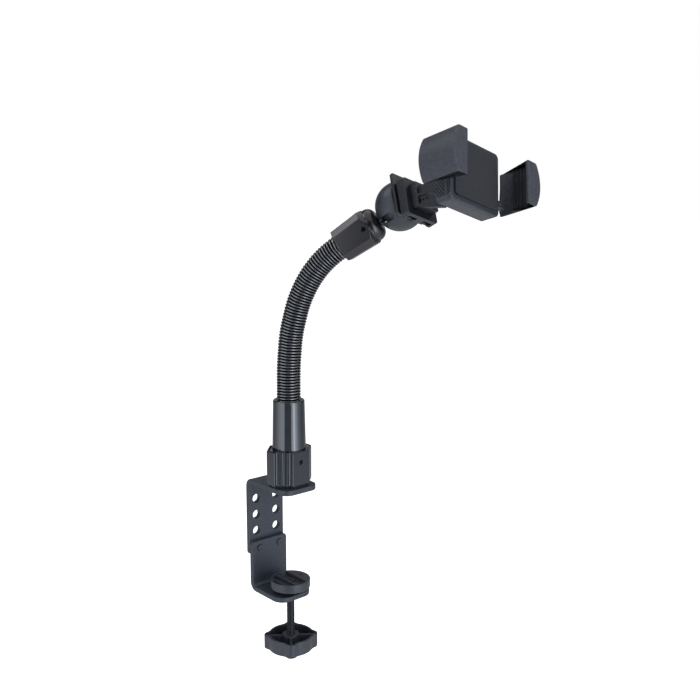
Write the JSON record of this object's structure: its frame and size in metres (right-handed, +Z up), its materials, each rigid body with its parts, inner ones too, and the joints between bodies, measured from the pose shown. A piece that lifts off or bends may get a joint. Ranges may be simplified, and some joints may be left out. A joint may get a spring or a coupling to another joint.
{
  "type": "phone gooseneck holder",
  "caption": "Table-clamp phone holder: steel screw clamp, ringed bending neck, ball head and a cradle whose two side jaws close on a phone.",
  "frame": {"origin": "on the clamp screw's axis, at the underside of the upper jaw, where a table top sits", "axes": "+Z up along the clamp screw, +X the way the jaws reach over the table, +Y along the bracket's width"},
  "size_m": [0.214, 0.1264, 0.4339],
  "materials": {
    "steel_black": "satin powder coat",
    "plastic_black": "fine moulded grain",
    "gloss_black": "semi-gloss",
    "neck_black": "semi-gloss black coating",
    "rubber_black": "matt",
    "screw_steel": "blackened"
  },
  "bodies": {
    "clamp": {"upper_bracket": "steel_black", "lower_bracket": "steel_black", "bracket_screws": "screw_steel", "base_gasket": "rubber_black", "base_screw": "screw_steel", "neck_base": "gloss_black", "base_set_screw": "screw_steel", "lower_ferrule": "gloss_black"},
    "pad": {"clamp_pad": "plastic_black"},
    "clamp_screw": {"clamp_screw": "screw_steel", "clamp_knob": "plastic_black", "pad_retainer": "screw_steel"},
    "neck_link_01": {"neck_link_01": "neck_black"},
    "neck_link_02": {"neck_link_02": "neck_black"},
    "neck_link_03": {"neck_link_03": "neck_black"},
    "neck_link_04": {"neck_link_04": "neck_black"},
    "neck_link_05": {"neck_link_05": "neck_black"},
    "neck_link_06": {"neck_link_06": "neck_black"},
    "neck_link_07": {"neck_link_07": "neck_black"},
    "neck_link_08": {"neck_link_08": "neck_black"},
    "neck_link_09": {"neck_link_09": "neck_black"},
    "neck_link_10": {"neck_link_10": "neck_black"},
    "neck_link_11": {"neck_link_11": "neck_black"},
    "neck_link_12": {"neck_link_12": "neck_black"},
    "neck_link_13": {"neck_link_13": "neck_black"},
    "neck_link_14": {"neck_link_14": "neck_black"},
    "upper_ferrule": {"upper_ferrule": "gloss_black", "upper_set_screw": "screw_steel"},
    "ball_stud": {"ball_stud": "screw_steel"},
    "socket_cup": {"socket_cup": "plastic_black"},
    "head": {"tee_plate": "plastic_black", "tee_block": "plastic_black", "block_screws": "screw_steel", "standoff": "plastic_black", "standoff_screws": "screw_steel", "cradle_back": "plastic_black", "cradle_cover": "plastic_black", "cradle_pad": "rubber_black", "cover_screws": "screw_steel"},
    "left_jaw": {"left_jaw": "plastic_black", "left_jaw_pad": "rubber_black"},
    "right_jaw": {"right_jaw": "plastic_black", "right_jaw_pad": "rubber_black"},
    "jaw_pinion": {"jaw_pinion": "plastic_black"},
    "release_button": {"release_button": "plastic_black", "button_spring": "screw_steel"}
  },
  "joints": [
    {"name": "pad_lift", "type": "slide", "parent": "clamp", "child": "pad", "axis": [0, 0, 1], "range_m": [-0.0025, 0.0305]},
    {"name": "screw_turn", "type": "hinge", "parent": "pad", "child": "clamp_screw", "pos_m": [0, 0, -0.1], "axis": [0, 0, 1], "range_deg": [-740, 8804]},
    {"name": "neck_bend_00", "type": "hinge", "parent": "clamp", "child": "neck_link_01", "pos_m": [0, 0, 0.07745], "axis": [-0.5878, 0.809, 0], "range_deg": [-8.29, 7.71]},
    {"name": "neck_side_01", "type": "hinge", "parent": "neck_link_01", "child": "neck_link_02", "pos_m": [0.00004, 0.00003, 0.08718], "axis": [0.809, 0.5878, -0.005], "range_deg": [-8, 8]},
    {"name": "neck_bend_02", "type": "hinge", "parent": "neck_link_02", "child": "neck_link_03", "pos_m": [0.00008, 0.00006, 0.09691], "axis": [-0.5878, 0.809, 0], "range_deg": [-9.5, 6.5]},
    {"name": "neck_bend_03", "type": "hinge", "parent": "neck_link_03", "child": "neck_link_04", "pos_m": [0.00032, 0.00023, 0.10663], "axis": [-0.5878, 0.809, 0], "range_deg": [-10.79, 5.21]},
    {"name": "neck_side_04", "type": "hinge", "parent": "neck_link_04", "child": "neck_link_05", "pos_m": [0.00095, 0.00069, 0.11633], "axis": [0.8064, 0.5859, -0.0797], "range_deg": [-8, 8]},
    {"name": "neck_bend_05", "type": "hinge", "parent": "neck_link_05", "child": "neck_link_06", "pos_m": [0.00158, 0.00115, 0.12603], "axis": [-0.5878, 0.809, 0], "range_deg": [-12.07, 3.93]},
    {"name": "neck_bend_06", "type": "hinge", "parent": "neck_link_06", "child": "neck_link_07", "pos_m": [0.00276, 0.00201, 0.13565], "axis": [-0.5878, 0.809, 0], "range_deg": [-13.36, 2.64]},
    {"name": "neck_side_07", "type": "hinge", "parent": "neck_link_07", "child": "neck_link_08", "pos_m": [0.00467, 0.00339, 0.14509], "axis": [0.785, 0.5703, -0.2419], "range_deg": [-8, 8]},
    {"name": "neck_bend_08", "type": "hinge", "parent": "neck_link_08", "child": "neck_link_09", "pos_m": [0.00657, 0.00477, 0.15454], "axis": [-0.5878, 0.809, 0], "range_deg": [-14.64, 1.36]},
    {"name": "neck_bend_09", "type": "hinge", "parent": "neck_link_09", "child": "neck_link_10", "pos_m": [0.00934, 0.00679, 0.16364], "axis": [-0.5878, 0.809, 0], "range_deg": [-13.14, 2.86]},
    {"name": "neck_bend_10", "type": "hinge", "parent": "neck_link_10", "child": "neck_link_11", "pos_m": [0.01277, 0.00928, 0.1724], "axis": [-0.5878, 0.809, 0], "range_deg": [-13.71, 2.29]},
    {"name": "neck_bend_11", "type": "hinge", "parent": "neck_link_11", "child": "neck_link_12", "pos_m": [0.01688, 0.01227, 0.1807], "axis": [-0.5878, 0.809, 0], "range_deg": [-14.29, 1.71]},
    {"name": "neck_bend_12", "type": "hinge", "parent": "neck_link_12", "child": "neck_link_13", "pos_m": [0.02171, 0.01577, 0.18839], "axis": [-0.5878, 0.809, 0], "range_deg": [-14.86, 1.14]},
    {"name": "neck_bend_13", "type": "hinge", "parent": "neck_link_13", "child": "neck_link_14", "pos_m": [0.02724, 0.01979, 0.19531], "axis": [-0.5878, 0.809, 0], "range_deg": [-15.43, 0.57]},
    {"name": "neck_bend_14", "type": "hinge", "parent": "neck_link_14", "child": "upper_ferrule", "pos_m": [0.03345, 0.0243, 0.20129], "axis": [-0.5878, 0.809, 0], "range_deg": [-11.93, 4.07]},
    {"name": "ball_twist", "type": "hinge", "parent": "upper_ferrule", "child": "ball_stud", "pos_m": [0.07235, 0.05256, 0.23372], "axis": [0.6707, 0.4873, 0.5592], "range_deg": [-170, 170]},
    {"name": "ball_swing", "type": "hinge", "parent": "ball_stud", "child": "socket_cup", "pos_m": [0.07235, 0.05256, 0.23372], "axis": [0.3829, 0.4182, -0.8237], "range_deg": [-55.65, 5.3]},
    {"name": "head_roll", "type": "hinge", "parent": "socket_cup", "child": "head", "pos_m": [0.07235, 0.05256, 0.23372], "axis": [0.8772, 0.1149, 0.4662], "range_deg": [-180, 180]},
    {"name": "left_jaw_slide", "type": "slide", "parent": "head", "child": "left_jaw", "axis": [0.0241, 0.9591, -0.2819], "range_m": [-0.006, 0.013]},
    {"name": "right_jaw_slide", "type": "slide", "parent": "head", "child": "right_jaw", "axis": [-0.0241, -0.9591, 0.2819], "range_m": [-0.006, 0.013]},
    {"name": "pinion_turn", "type": "hinge", "parent": "head", "child": "jaw_pinion", "pos_m": [0.14822, 0.05785, 0.25822], "axis": [0.9626, 0.0538, 0.2656], "range_deg": [-126.14, 59.3]},
    {"name": "release_press", "type": "slide", "parent": "head", "child": "release_button", "axis": [-0.0241, -0.9591, 0.2819], "range_m": [0, 0.0022], "stiffness_N_per_m": 400, "springref_m": -0.001}
  ],
  "couplings": [
    {"joint": "screw_turn", "follows": "pad_lift", "rad_per_m": 5026.5},
    {"joint": "right_jaw_slide", "follows": "left_jaw_slide", "ratio": 1},
    {"joint": "pinion_turn", "follows": "left_jaw_slide", "rad_per_m": -166.67}
  ]
}
